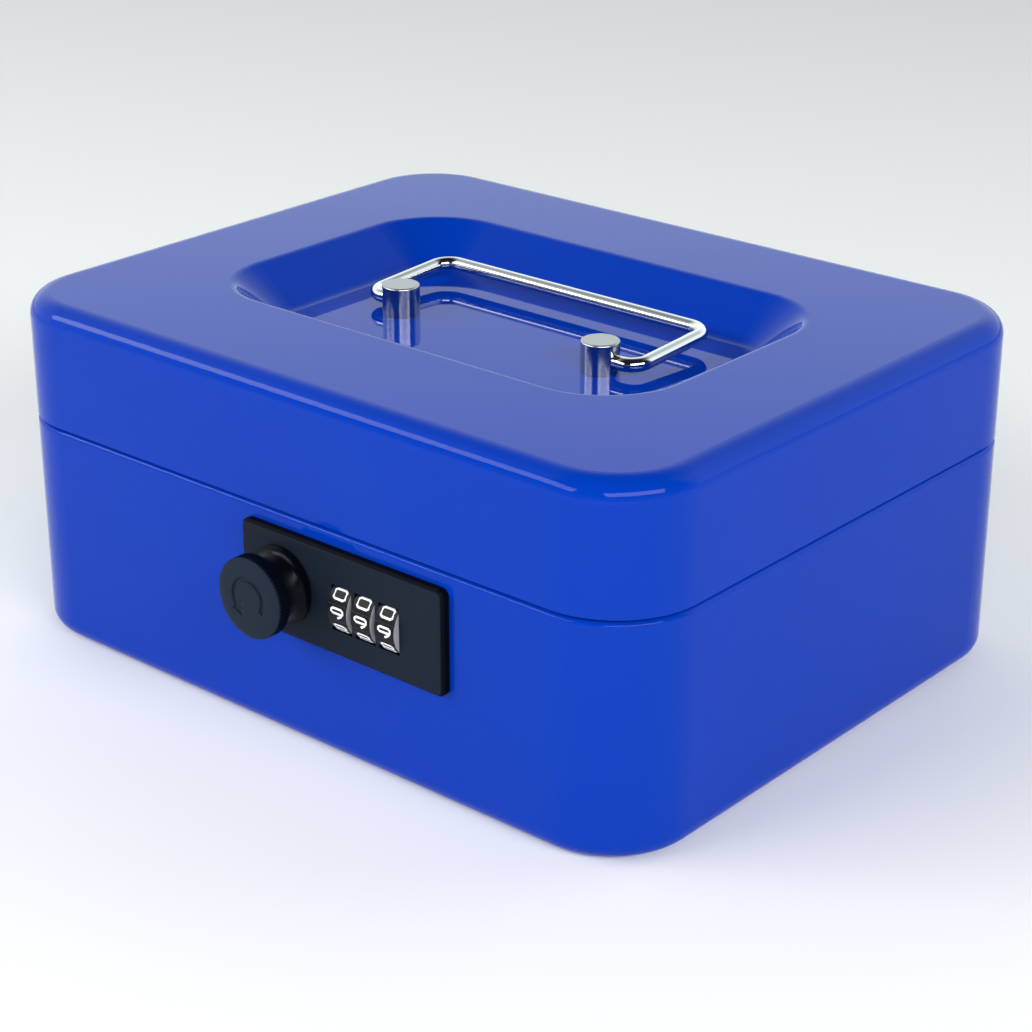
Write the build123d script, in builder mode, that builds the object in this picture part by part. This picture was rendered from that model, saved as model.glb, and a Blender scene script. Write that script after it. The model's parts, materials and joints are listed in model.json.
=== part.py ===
from build123d import *
import os
from math import cos, pi, radians, sin, sqrt

# A small steel cash box with a recessed carrying handle and a combination lock.
# Millimetres. The origin is the middle of the underside, +X runs to the right along
# the front, the front faces -Y and +Z is up.

# Box
box_length = 200.0
box_depth = 157.5
box_height = 88.7
corner_radius = 21.6
sheet = 1.0                 # steel sheet of the base and the lid
base_bottom_radius = 4.6
seam_height = 58.0          # lower edge of the lid's skirt
seam_gap = 0.7
shoulder_radius = 1.2
lid_clearance = 0.6         # between the lid's skirt and the neck inside it
neck_rise = 8.0             # how far the neck stands up inside the lid
lid_top_radius = 5.2

# Well pressed into the lid
well_length = 133.0
well_width = 85.0
well_depth = 9.8
well_centre_y = 1.0
well_corner_radius = 21.0
well_slope_run = 11.5
well_lip_radius = 3.0
well_floor_radius = 5.0

# Carrying handle
post_x = 32.0
post_y = -5.0
post_radius = 4.72
post_height = 7.8
post_edge = 0.5
handle_wire = 3.5
handle_arm_x = 42.6
handle_reach = 28.5
handle_pivot_rise = 3.3     # pivot height above the floor of the well
handle_tilt = 3.0
handle_eye_bend = 4.0
handle_corner_bend = 5.0
handle_hole_depth = 2.7
handle_end_gap = 0.2
post_screw_radius = 1.45
post_screw_reach = 5.1
post_screw_head_radius = 2.8
post_screw_head = 2.0
post_screw_round = 0.7
post_recess_length = 3.4    # cross recess in the head
post_recess_width = 0.8
post_recess_depth = 1.1
washer_thickness = 0.8
washer_radius = 4.2

# Hinges
hinge_x = 55.0
hinge_width = 30.0
hinge_axis_offset = 2.6     # behind the rear wall
knuckle_radius = 2.1
hinge_pin_radius = 1.2
hinge_leaf = 1.0
hinge_leaf_corner = 1.5
strap_height = 3.8          # strip that joins a leaf to its knuckle
strap_offset = 2.6          # middle of that strip above or below the hinge axis
hinge_leaf_gap = 2.5        # leaf edge above or below the hinge axis
base_leaf_height = 14.5
lid_leaf_height = 14.5
middle_knuckle = 12.0
knuckle_gap = 0.35
hinge_pin_head_radius = 1.9
hinge_pin_head = 0.8
hinge_pin_end_gap = 0.2
rivet_spacing = 18.0
rivet_radius = 1.45
rivet_head_radius = 2.2
rivet_head = 1.1
rivet_tail = 0.8
lid_rivet_rise = 12.0
base_rivet_drop = 9.0
open_angle = 100.0
stop_reach = 4.6            # rear face of the stop finger, behind the hinge axis
stop_thickness = 1.0
stop_width = 8.0
stop_drop = 4.2
stop_gap = 0.3

# Lock
lock_ledge_gap = 1.6        # between the lock case and the ledge under the neck
knob_rise = 1.2             # knob axis above the wheel axis
plate_length = 62.2
plate_height = 25.7
plate_thickness = 2.4
plate_centre_x = 19.45
plate_drop = 0.2            # plate's middle below the knob axis
plate_corner = 1.8
plate_chamfer = 0.8
knob_x = 1.7
knob_flange_radius = 9.5
knob_flange_edge = 0.7
knob_plate_gap = 0.25
knob_waist_radius = 6.4
knob_flare = 0.9            # how far the flange's hollow curve runs out beyond the waist
knob_flare_rise = 1.1
knob_waist_front = 4.6
knob_head_radius = 9.8
knob_head_back = 7.5
knob_head_slope = 1.0       # cone between the waist and the back of the head
knob_length = 11.1
knob_face_radius = 9.4
knob_dome = 0.3
knob_head_round = 0.45
knob_socket = 6.5
spindle_end_gap = 0.3
spindle_step_gap = 0.1
spindle_radius = 3.0
spindle_square = 4.2
spindle_thread_radius = 1.5
wheel_radius = 7.2
wheel_width = 5.8
wheel_pitch = 7.23
wheel_first_x = 20.3
wheel_proud = 1.6           # how far the wheels stand out of the lock plate
wheel_count = 3
digit_count = 10
flute_radius = 0.7
flute_depth = 0.12
slot_clearance = 0.35
slot_side_clearance = 0.25
window_above = 5.9          # straight edge of a slot above the wheel axis
window_below = 5.4
axle_radius = 1.5
code_ring_radius = 4.4
code_ring_thickness = 1.0
gate_width = 2.4
gate_depth = 1.8

case_wall = 1.2
case_corner = 2.5
case_back_round = 0.8
cut_end_gap = 2.6           # wall cut-out inside the ends of the case
cut_wheel_gap = 0.8
cut_corner = 2.0
case_left = -6.8
case_right = 45.6
case_floor_gap = 2.3        # under the wheels, for the leaf spring
case_rear_gap = 2.6         # behind the wheels
fence_spring_room = 3.3     # over the fence, at rest
ear_length = 5.0
ear_height = 9.0
ear_thickness = 1.5
ear_corner = 2.0
ear_hole_inset = 2.1        # screw axis outside the end of the case
lock_screw_radius = 1.2
lock_screw_head_radius = 2.1
lock_screw_head = 1.4
lock_recess_length = 2.6
lock_recess_width = 0.6
lock_recess_depth = 0.8
lock_screw_end_gap = 0.3
plate_thread_depth = 1.8
rib_thickness = 1.6
rib_gap = 0.5
rib_rise = 2.4              # rib above and in front of the wheel axle
axle_end_gap = 0.2
leaf_thickness = 0.4
leaf_width = 4.0
leaf_foot = 4.0
leaf_reach = 5.2            # from the wheel axle back to the leaf's foot
leaf_tip_length = 1.2
leaf_tip_drop = 0.6
leaf_wheel_gap = 0.4

fence_travel = 1.5
fence_wheel_gap = 0.6
fence_bar_height = 2.2
fence_width = 3.0
fence_finger = 0.9
fence_side_gap = 0.35
fence_ring_gap = 0.3
fence_cam_radius = 5.0
fence_cam_gap = 0.25
fence_cam_thickness = 2.6
fence_foot = 0.8
fence_end_gap = 0.4
spring_wire = 0.4
spring_radius = 1.3
spring_turns = 3
spring_end_gap = 0.05
cam_lead = 15.0             # degrees of spiral before and after the quarter turn
knob_turn = 90.0
fence_root = 1.0            # how far fingers and foot run up into the bar

latch_arm_thickness = 2.0
latch_arm_gap = 0.5
latch_arm_width = 7.0
latch_arm_length = 20.0
latch_arm_corner = 1.5
latch_hub_radius = 5.0
spindle_washer_thickness = 0.6
nut_height = 2.2
nut_radius = 3.2
washer_margin = 0.8
spindle_tip = 0.3

button_x = 42.0
button_z = 46.0
button_radius = 2.0
button_head = 2.6
button_flange_radius = 2.35
button_flange = 0.8
button_flange_gap = 0.1
button_round = 0.5

# Strike hanging from the lid
strike_sheet = 1.5
strike_leg_width = 6.5
strike_pad_width = 20.5
strike_pad_height = 14.5
strike_pad_gap = 2.5        # above the neck
strike_corner = 2.0
strike_leg_inset = 4.55     # leg's front face behind the skirt's inner face
strike_clearance = 0.6
strike_side_gap = 0.7
strike_toe_lap = 1.05       # how far the toe reaches past the latch arm

# Coin tray
tray_side_gap = 1.2
tray_rear_gap = 1.25
tray_front_gap = 2.45       # behind the end of the knob's spindle
tray_height = 33.0
tray_wall = 1.6
tray_floor = 1.6
tray_rim_lap = 0.9          # flange over the neck's rim
tray_flange = 1.2
tray_divider_y = -8.0
tray_coin_pockets = 4
tray_note_pockets = 2
tray_pocket_radius = 5.0
tray_bottom_radius = 5.0

running_fit = 0.08
press_gap = 0.02
thread_gap = 0.05
screw_clearance = 0.2

# Places worked out from the sizes above
front_y = -box_depth / 2
rear_y = box_depth / 2
neck_step = sheet + lid_clearance
neck_length = box_length - 2 * neck_step
neck_depth = box_depth - 2 * neck_step
neck_corner = corner_radius - neck_step
neck_top = seam_height + neck_rise
shoulder_height = seam_height - seam_gap
lid_rise = box_height - seam_height
well_floor_z = box_height - well_depth
well_under_z = well_floor_z - sheet
well_taper = 90 - Vector(well_slope_run, well_depth, 0).get_angle(Vector(1, 0, 0))
slope_sheet = sheet * sqrt(well_slope_run**2 + well_depth**2) / well_depth
hinge_y = rear_y + hinge_axis_offset
plate_face_y = front_y - plate_thickness
wall_inner_y = front_y + sheet
wheel_y = plate_face_y - wheel_proud + wheel_radius
case_back_y = wheel_y + wheel_radius + case_rear_gap + case_wall
case_depth = case_back_y - wall_inner_y
case_top = shoulder_height - sheet - lock_ledge_gap
fence_bar_z = case_top - case_wall - fence_spring_room - fence_bar_height
wheel_z = fence_bar_z - fence_wheel_gap - wheel_radius
lock_z = wheel_z + knob_rise
case_bottom = wheel_z - wheel_radius - case_floor_gap - case_wall
wheel_xs = [wheel_first_x + wheel_pitch * place for place in range(wheel_count)]
ring_xs = [x + wheel_width / 2 + code_ring_thickness / 2 for x in wheel_xs]
latch_y = case_back_y + latch_arm_gap
washer_y = latch_y + latch_arm_thickness
nut_y = washer_y + spindle_washer_thickness
spindle_end_y = nut_y + nut_height + spindle_tip
tray_front_y = spindle_end_y + tray_front_gap
lock_screw_xs = [case_left - ear_hole_inset, case_right + ear_hole_inset]
sides = (("left", -1), ("right", 1))

os.makedirs("parts", exist_ok=True)


def dome(base_radius, rise, radius):
    """Height at a radius of a shallow dome that stands on a circle."""
    sphere = (base_radius**2 + rise**2) / (2 * rise)
    return sqrt(sphere**2 - radius**2) - sphere + rise


# Base: a drawn tray with a rounded shoulder and a neck that the lid closes over
with BuildPart() as base_cavity:
    with BuildSketch(Plane.XY.offset(sheet)):
        RectangleRounded(box_length - 2 * sheet, box_depth - 2 * sheet, corner_radius - sheet)
    extrude(amount=shoulder_height - 2 * sheet)
    fillet(base_cavity.edges().group_by(Axis.Z)[0], base_bottom_radius - sheet)
    with BuildSketch(Plane.XY.offset(shoulder_height - sheet)):
        RectangleRounded(neck_length - 2 * sheet, neck_depth - 2 * sheet, neck_corner - sheet)
    extrude(amount=neck_top - shoulder_height + sheet)

with BuildPart() as base_shell:
    with BuildSketch(Plane.XY):
        RectangleRounded(box_length, box_depth, corner_radius)
    extrude(amount=shoulder_height)
    fillet(base_shell.edges().group_by(Axis.Z)[-1], shoulder_radius)
    fillet(base_shell.edges().group_by(Axis.Z)[0], base_bottom_radius)
    with BuildSketch(Plane.XY.offset(shoulder_height)):
        RectangleRounded(neck_length, neck_depth, neck_corner)
    extrude(amount=neck_top - shoulder_height)
    add(base_cavity.part, mode=Mode.SUBTRACT)
    # one long cut-out behind the lock plate and a screw hole beyond each end of it
    cut_left = case_left + case_wall + cut_end_gap
    cut_right = case_right - case_wall - cut_end_gap
    cut_height = 2 * (wheel_radius + cut_wheel_gap)
    with BuildSketch(Plane.XZ.offset(-wall_inner_y)):
        with Locations(((cut_left + cut_right) / 2, wheel_z)):
            RectangleRounded(cut_right - cut_left, cut_height, cut_corner)
        with Locations(*[(x, lock_z) for x in lock_screw_xs]):
            Circle(lock_screw_radius + screw_clearance)
    extrude(amount=sheet, mode=Mode.SUBTRACT)
    # rivet holes of the hinges
    with BuildSketch(Plane.XZ.offset(-rear_y)):
        with Locations(*[(side * hinge_x, seam_height - base_rivet_drop) for _, side in sides]):
            with GridLocations(rivet_spacing, 0, 2, 1):
                Circle(rivet_radius + press_gap)
    extrude(amount=sheet, mode=Mode.SUBTRACT)
base_shell.part.label = "base_shell"
export_step(base_shell.part, "parts/base_shell.step")


# Lid: a drawn cover with a sloped well for the handle
with BuildPart() as well_punch:
    with BuildSketch(Plane.XY.offset(box_height)):
        with Locations((0, well_centre_y)):
            RectangleRounded(well_length, well_width, well_corner_radius)
    extrude(amount=-well_depth, taper=well_taper)
    fillet(well_punch.edges().group_by(Axis.Z)[0], well_floor_radius)

with BuildPart() as well_die:
    with BuildSketch(Plane.XY.offset(box_height)):
        with Locations((0, well_centre_y)):
            RectangleRounded(
                well_length + 2 * slope_sheet,
                well_width + 2 * slope_sheet,
                well_corner_radius + slope_sheet,
            )
    extrude(amount=-well_depth - sheet, taper=well_taper)
    fillet(well_die.edges().group_by(Axis.Z)[0], well_floor_radius + sheet)

with BuildPart() as lid_cavity:
    with BuildSketch(Plane.XY.offset(seam_height)):
        RectangleRounded(box_length - 2 * sheet, box_depth - 2 * sheet, corner_radius - sheet)
    extrude(amount=lid_rise - sheet)
    fillet(lid_cavity.edges().group_by(Axis.Z)[-1], lid_top_radius - sheet)
    add(well_die.part, mode=Mode.SUBTRACT)

with BuildPart() as lid_shell:
    with BuildSketch(Plane.XY.offset(seam_height)):
        RectangleRounded(box_length, box_depth, corner_radius)
    extrude(amount=lid_rise)
    fillet(lid_shell.edges().group_by(Axis.Z)[-1], lid_top_radius)
    add(well_punch.part, mode=Mode.SUBTRACT)
    well_lip = lid_shell.faces().filter_by(Plane.XY).sort_by(Axis.Z)[-1].inner_wires()[0]
    fillet(well_lip.edges(), well_lip_radius)
    add(lid_cavity.part, mode=Mode.SUBTRACT)
    # holes for the screws of the handle posts and for the hinge rivets
    with BuildSketch(Plane.XY.offset(well_under_z)):
        with Locations(*[(side * post_x, post_y) for _, side in sides]):
            Circle(post_screw_radius + screw_clearance)
    extrude(amount=sheet, mode=Mode.SUBTRACT)
    with BuildSketch(Plane.XZ.offset(-rear_y)):
        with Locations(*[(side * hinge_x, seam_height + lid_rivet_rise) for _, side in sides]):
            with GridLocations(rivet_spacing, 0, 2, 1):
                Circle(rivet_radius + press_gap)
    extrude(amount=sheet, mode=Mode.SUBTRACT)
lid_shell.part.label = "lid_shell"
export_step(lid_shell.part, "parts/lid_shell.step")


# Hinges: an outer pair of knuckles on the base, one between them on the lid
outer_knuckle = (hinge_width - middle_knuckle) / 2 - knuckle_gap
outer_knuckle_x = (hinge_width - outer_knuckle) / 2
hinge_plane = Plane.YZ
stop_angle = radians(open_angle)
lid_leaf_face = hinge_axis_offset - hinge_leaf
stop_rise = (lid_leaf_face + stop_reach * cos(stop_angle)) / sin(stop_angle) - stop_gap
for side_name, side in sides:
    hinge_centre = side * hinge_x

    with BuildPart() as base_leaf:
        with BuildSketch(Plane.XZ.offset(-rear_y)):
            with Locations((hinge_centre, seam_height - hinge_leaf_gap - base_leaf_height / 2)):
                RectangleRounded(hinge_width, base_leaf_height, hinge_leaf_corner)
            with Locations(*[(hinge_centre + end * rivet_spacing / 2, seam_height - base_rivet_drop)
                             for end in (-1, 1)]):
                Circle(rivet_radius + press_gap, mode=Mode.SUBTRACT)
        extrude(amount=-hinge_leaf)
        for end in (-1, 1):
            knuckle_start = hinge_centre + end * outer_knuckle_x - outer_knuckle / 2
            with BuildSketch(hinge_plane.offset(knuckle_start)):
                with Locations((hinge_y, seam_height)):
                    Circle(knuckle_radius)
                with Locations((rear_y + hinge_leaf / 2, seam_height - strap_offset)):
                    Rectangle(hinge_leaf, strap_height)
                with Locations((hinge_y, seam_height)):
                    Circle(hinge_pin_radius + press_gap, mode=Mode.SUBTRACT)
            extrude(amount=outer_knuckle)
        # finger bent up behind the hinge, which the lid's leaf meets when fully open
        with BuildSketch(hinge_plane.offset(hinge_centre - stop_width / 2)):
            with BuildLine():
                Polyline(
                    (rear_y + hinge_leaf / 2, seam_height - stop_drop),
                    (hinge_y + stop_reach, seam_height - stop_drop),
                    (hinge_y + stop_reach, seam_height + stop_rise),
                    (hinge_y + stop_reach - stop_thickness, seam_height + stop_rise),
                    (hinge_y + stop_reach - stop_thickness, seam_height - stop_drop + stop_thickness),
                    (rear_y + hinge_leaf / 2, seam_height - stop_drop + stop_thickness),
                    close=True,
                )
            make_face()
        extrude(amount=stop_width)
    base_leaf.part.label = f"hinge_base_leaf_{side_name}"
    export_step(base_leaf.part, f"parts/hinge_base_leaf_{side_name}.step")

    with BuildPart() as lid_leaf:
        with BuildSketch(Plane.XZ.offset(-rear_y)):
            with Locations((hinge_centre, seam_height + hinge_leaf_gap + lid_leaf_height / 2)):
                RectangleRounded(hinge_width, lid_leaf_height, hinge_leaf_corner)
            with Locations(*[(hinge_centre + end * rivet_spacing / 2, seam_height + lid_rivet_rise)
                             for end in (-1, 1)]):
                Circle(rivet_radius + press_gap, mode=Mode.SUBTRACT)
        extrude(amount=-hinge_leaf)
        with BuildSketch(hinge_plane.offset(hinge_centre - middle_knuckle / 2 + knuckle_gap)):
            with Locations((hinge_y, seam_height)):
                Circle(knuckle_radius)
            with Locations((rear_y + hinge_leaf / 2, seam_height + strap_offset)):
                Rectangle(hinge_leaf, strap_height)
            with Locations((hinge_y, seam_height)):
                Circle(hinge_pin_radius + running_fit, mode=Mode.SUBTRACT)
        extrude(amount=middle_knuckle - 2 * knuckle_gap)
    lid_leaf.part.label = f"hinge_lid_leaf_{side_name}"
    export_step(lid_leaf.part, f"parts/hinge_lid_leaf_{side_name}.step")

    with BuildPart() as hinge_pin:
        with BuildSketch(hinge_plane.offset(hinge_centre - hinge_width / 2 - hinge_pin_end_gap)):
            with Locations((hinge_y, seam_height)):
                Circle(hinge_pin_radius)
        extrude(amount=hinge_width + 2 * hinge_pin_end_gap)
        pin_half = hinge_width / 2 + hinge_pin_end_gap
        for start in (hinge_centre - pin_half - hinge_pin_head, hinge_centre + pin_half):
            with BuildSketch(hinge_plane.offset(start)):
                with Locations((hinge_y, seam_height)):
                    Circle(hinge_pin_head_radius)
            extrude(amount=hinge_pin_head)
    hinge_pin.part.label = f"hinge_pin_{side_name}"
    export_step(hinge_pin.part, f"parts/hinge_pin_{side_name}.step")


# Rivets of both hinges, domed outside and set flat inside
for group_name, rivet_z in (
    ("base_hinge_rivets", seam_height - base_rivet_drop),
    ("lid_hinge_rivets", seam_height + lid_rivet_rise),
):
    with BuildPart() as rivets:
        for _, side in sides:
            for end in (-1, 1):
                rivet_x = side * hinge_x + end * rivet_spacing / 2
                with BuildSketch(Plane.XY.offset(rivet_z)) as rivet_profile:
                    with BuildLine():
                        outer_y = rear_y + hinge_leaf
                        Polyline(
                            (rivet_x, rear_y - sheet - rivet_tail),
                            (rivet_x + rivet_head_radius, rear_y - sheet - rivet_tail),
                            (rivet_x + rivet_head_radius, rear_y - sheet),
                            (rivet_x + rivet_radius, rear_y - sheet),
                            (rivet_x + rivet_radius, outer_y),
                            (rivet_x + rivet_head_radius, outer_y),
                        )
                        ThreePointArc(
                            (rivet_x + rivet_head_radius, outer_y),
                            (
                                rivet_x + rivet_head_radius / 2,
                                outer_y + dome(rivet_head_radius, rivet_head, rivet_head_radius / 2),
                            ),
                            (rivet_x, outer_y + rivet_head),
                        )
                        Line((rivet_x, outer_y + rivet_head), (rivet_x, rear_y - sheet - rivet_tail))
                    make_face()
                revolve(axis=Axis((rivet_x, 0, rivet_z), (0, 1, 0)))
    rivets.part.label = group_name
    export_step(rivets.part, f"parts/{group_name}.step")


# Handle posts standing in the well, and the screws and washers that hold them from below
pivot_z = well_floor_z + handle_pivot_rise
for side_name, side in sides:
    with BuildPart() as post:
        with BuildSketch(Plane.XY.offset(well_floor_z)):
            with Locations((side * post_x, post_y)):
                Circle(post_radius)
        extrude(amount=post_height)
        fillet(post.edges().group_by(Axis.Z)[-1], post_edge)
        with BuildSketch(Plane.XY.offset(well_floor_z)):
            with Locations((side * post_x, post_y)):
                Circle(post_screw_radius + thread_gap)
        extrude(amount=post_screw_reach + handle_end_gap, mode=Mode.SUBTRACT)
        hole_end_x = side * (post_x + post_radius - handle_hole_depth)
        with BuildSketch(Plane.YZ.offset(hole_end_x)):
            with Locations((post_y, pivot_z)):
                Circle(handle_wire / 2 + running_fit)
        extrude(amount=side * 2 * handle_hole_depth, mode=Mode.SUBTRACT)
    post.part.label = f"handle_post_{side_name}"
    export_step(post.part, f"parts/handle_post_{side_name}.step")

with BuildPart() as handle_post_washers:
    with BuildSketch(Plane.XY.offset(well_under_z - washer_thickness)):
        with Locations(*[(side * post_x, post_y) for _, side in sides]):
            Circle(washer_radius)
            Circle(post_screw_radius + screw_clearance, mode=Mode.SUBTRACT)
    extrude(amount=washer_thickness)
handle_post_washers.part.label = "handle_post_washers"
export_step(handle_post_washers.part, "parts/handle_post_washers.step")

with BuildPart() as handle_post_screws:
    screw_head_z = well_under_z - washer_thickness - post_screw_head
    for _, side in sides:
        with BuildSketch(Plane.XY.offset(screw_head_z)):
            with Locations((side * post_x, post_y)):
                Circle(post_screw_head_radius)
        extrude(amount=post_screw_head)
        fillet(handle_post_screws.edges(Select.LAST).group_by(Axis.Z)[0], post_screw_round)
        with BuildSketch(Plane.XY.offset(screw_head_z)):
            with Locations((side * post_x, post_y)):
                Rectangle(post_recess_length, post_recess_width)
                Rectangle(post_recess_width, post_recess_length)
        extrude(amount=post_recess_depth, mode=Mode.SUBTRACT)
        with BuildSketch(Plane.XY.offset(screw_head_z + post_screw_head)):
            with Locations((side * post_x, post_y)):
                Circle(post_screw_radius)
        extrude(amount=washer_thickness + sheet + post_screw_reach)
handle_post_screws.part.label = "handle_post_screws"
export_step(handle_post_screws.part, "parts/handle_post_screws.step")


# Carrying handle: one bent wire whose ends turn in the posts
handle_plane = Plane(
    origin=(0, post_y, pivot_z),
    x_dir=(1, 0, 0),
    z_dir=(0, -sin(radians(handle_tilt)), cos(radians(handle_tilt))),
)
wire_end_x = post_x + post_radius - handle_hole_depth + handle_end_gap
with BuildPart() as carry_handle:
    with BuildLine(handle_plane) as handle_path:
        FilletPolyline(
            (-wire_end_x, 0),
            (-handle_arm_x, 0),
            (-handle_arm_x, handle_reach),
            (handle_arm_x, handle_reach),
            (handle_arm_x, 0),
            (wire_end_x, 0),
            radius=[handle_eye_bend, handle_corner_bend, handle_corner_bend, handle_eye_bend],
        )
    with BuildSketch(Plane(origin=handle_path.line @ 0, z_dir=handle_path.line % 0)):
        Circle(handle_wire / 2)
    sweep()
carry_handle.part.label = "carry_handle"
export_step(carry_handle.part, "parts/carry_handle.step")


# Lock plate on the front, with a slot for each number wheel
with BuildPart() as lock_plate:
    with BuildSketch(Plane.XZ.offset(-front_y)):
        with Locations((plate_centre_x, lock_z - plate_drop)):
            RectangleRounded(plate_length, plate_height, plate_corner)
    extrude(amount=plate_thickness)
    chamfer(lock_plate.edges().group_by(Axis.Y)[0], plate_chamfer)
    with BuildSketch(Plane.XZ.offset(-front_y)):
        with Locations((knob_x, lock_z)):
            Circle(spindle_radius + running_fit)
    extrude(amount=plate_thickness, mode=Mode.SUBTRACT)
    with BuildSketch(Plane.XZ.offset(-front_y)):
        with Locations(*[(x, lock_z) for x in lock_screw_xs]):
            Circle(lock_screw_radius + thread_gap)
    extrude(amount=plate_thread_depth, mode=Mode.SUBTRACT)
    slot_width = wheel_width + 2 * slot_side_clearance
    for x in wheel_xs:
        with BuildSketch(Plane.YZ.offset(x - slot_width / 2)):
            with Locations((wheel_y, wheel_z)):
                Circle(wheel_radius + slot_clearance)
        extrude(amount=slot_width, mode=Mode.SUBTRACT)
    with BuildSketch(Plane.XZ.offset(-front_y)):
        with Locations(*[(x, wheel_z + (window_above - window_below) / 2) for x in wheel_xs]):
            Rectangle(slot_width, window_above + window_below)
    extrude(amount=plate_thickness, mode=Mode.SUBTRACT)
    relief_width = code_ring_thickness + 2 * slot_side_clearance
    for x in ring_xs:
        with BuildSketch(Plane.YZ.offset(x - relief_width / 2)):
            with Locations((wheel_y, wheel_z)):
                Circle(code_ring_radius + slot_clearance)
        extrude(amount=relief_width, mode=Mode.SUBTRACT)
lock_plate.part.label = "lock_plate"
export_step(lock_plate.part, "parts/lock_plate.step")


# Lock case screwed to the inside of the front wall
with BuildPart() as lock_case:
    case_middle_x = (case_left + case_right) / 2
    case_middle_z = (case_bottom + case_top) / 2
    case_length = case_right - case_left
    case_height = case_top - case_bottom
    with BuildSketch(Plane.XZ.offset(-wall_inner_y)):
        with Locations((case_middle_x, case_middle_z)):
            RectangleRounded(case_length, case_height, case_corner)
    extrude(amount=-case_depth)
    fillet(lock_case.edges().group_by(Axis.Y)[-1], case_back_round)
    with BuildSketch(Plane.XZ.offset(-wall_inner_y)):
        with Locations((case_middle_x, lock_z)):
            RectangleRounded(case_length + 2 * ear_length, ear_height, ear_corner)
    extrude(amount=-ear_thickness)
    with BuildSketch(Plane.XZ.offset(-wall_inner_y)):
        with Locations((case_middle_x, case_middle_z)):
            RectangleRounded(
                case_length - 2 * case_wall,
                case_height - 2 * case_wall,
                case_corner - case_wall,
            )
    extrude(amount=case_wall - case_depth, mode=Mode.SUBTRACT)
    # rib that carries the left end of the wheel axle
    rib_right = wheel_first_x - wheel_width / 2 - rib_gap
    rib_front_y = wheel_y - rib_rise
    rib_back_y = case_back_y - case_wall
    rib_floor_z = case_bottom + case_wall
    rib_top_z = wheel_z + rib_rise
    with BuildSketch(Plane.YZ.offset(rib_right - rib_thickness)):
        with Locations(((rib_front_y + rib_back_y) / 2, (rib_floor_z + rib_top_z) / 2)):
            Rectangle(rib_back_y - rib_front_y, rib_top_z - rib_floor_z)
    extrude(amount=rib_thickness)
    with BuildSketch(Plane.YZ.offset(rib_right - rib_thickness)):
        with Locations((wheel_y, wheel_z)):
            Circle(axle_radius + press_gap)
    extrude(amount=case_right - rib_right + rib_thickness, mode=Mode.SUBTRACT)
    with BuildSketch(Plane.XZ.offset(-case_back_y)):
        with Locations((knob_x, lock_z)):
            Circle(spindle_radius + running_fit)
        with Locations((button_x, button_z)):
            Circle(button_radius + running_fit)
    extrude(amount=case_wall, mode=Mode.SUBTRACT)
    with BuildSketch(Plane.XZ.offset(-wall_inner_y)):
        with Locations(*[(x, lock_z) for x in lock_screw_xs]):
            Circle(lock_screw_radius + screw_clearance)
    extrude(amount=-ear_thickness, mode=Mode.SUBTRACT)
lock_case.part.label = "lock_case"
export_step(lock_case.part, "parts/lock_case.step")

screw_seat_y = wall_inner_y + ear_thickness
with BuildPart() as lock_screws:
    for x in lock_screw_xs:
        with BuildSketch(Plane.XZ.offset(-screw_seat_y)):
            with Locations((x, lock_z)):
                Circle(lock_screw_head_radius)
        extrude(amount=-lock_screw_head)
        with BuildSketch(Plane.XZ.offset(-screw_seat_y - lock_screw_head)):
            with Locations((x, lock_z)):
                Rectangle(lock_recess_length, lock_recess_width)
                Rectangle(lock_recess_width, lock_recess_length)
        extrude(amount=lock_recess_depth, mode=Mode.SUBTRACT)
        with BuildSketch(Plane.XZ.offset(-screw_seat_y)):
            with Locations((x, lock_z)):
                Circle(lock_screw_radius)
        extrude(amount=ear_thickness + sheet + plate_thread_depth - lock_screw_end_gap)
lock_screws.part.label = "lock_screws"
export_step(lock_screws.part, "parts/lock_screws.step")


# Number wheels on their axle, each with a code ring on its right side
with BuildPart() as wheel_axle:
    with BuildSketch(Plane.YZ.offset(rib_right - rib_thickness)):
        with Locations((wheel_y, wheel_z)):
            Circle(axle_radius)
    extrude(amount=case_right - rib_right + rib_thickness - axle_end_gap)
wheel_axle.part.label = "wheel_axle"
export_step(wheel_axle.part, "parts/wheel_axle.step")

for number, (x, ring_x) in enumerate(zip(wheel_xs, ring_xs), start=1):
    with BuildPart() as digit_wheel:
        with BuildSketch(Plane.YZ.offset(x - wheel_width / 2)):
            with Locations((wheel_y, wheel_z)):
                Circle(wheel_radius)
                with PolarLocations(
                    wheel_radius + flute_radius - flute_depth, digit_count, start_angle=180 / digit_count
                ):
                    Circle(flute_radius, mode=Mode.SUBTRACT)
                Circle(axle_radius + running_fit, mode=Mode.SUBTRACT)
        extrude(amount=wheel_width)
    digit_wheel.part.label = f"digit_wheel_{number}"
    export_step(digit_wheel.part, f"parts/digit_wheel_{number}.step")

    with BuildPart() as code_ring:
        with BuildSketch(Plane.YZ.offset(ring_x - code_ring_thickness / 2)):
            with Locations((wheel_y, wheel_z)):
                Circle(code_ring_radius)
                Circle(axle_radius + running_fit, mode=Mode.SUBTRACT)
            with Locations((wheel_y, wheel_z + code_ring_radius)):
                Rectangle(gate_width, 2 * gate_depth, mode=Mode.SUBTRACT)
        extrude(amount=code_ring_thickness)
    code_ring.part.label = f"code_ring_{number}"
    export_step(code_ring.part, f"parts/code_ring_{number}.step")


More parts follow.
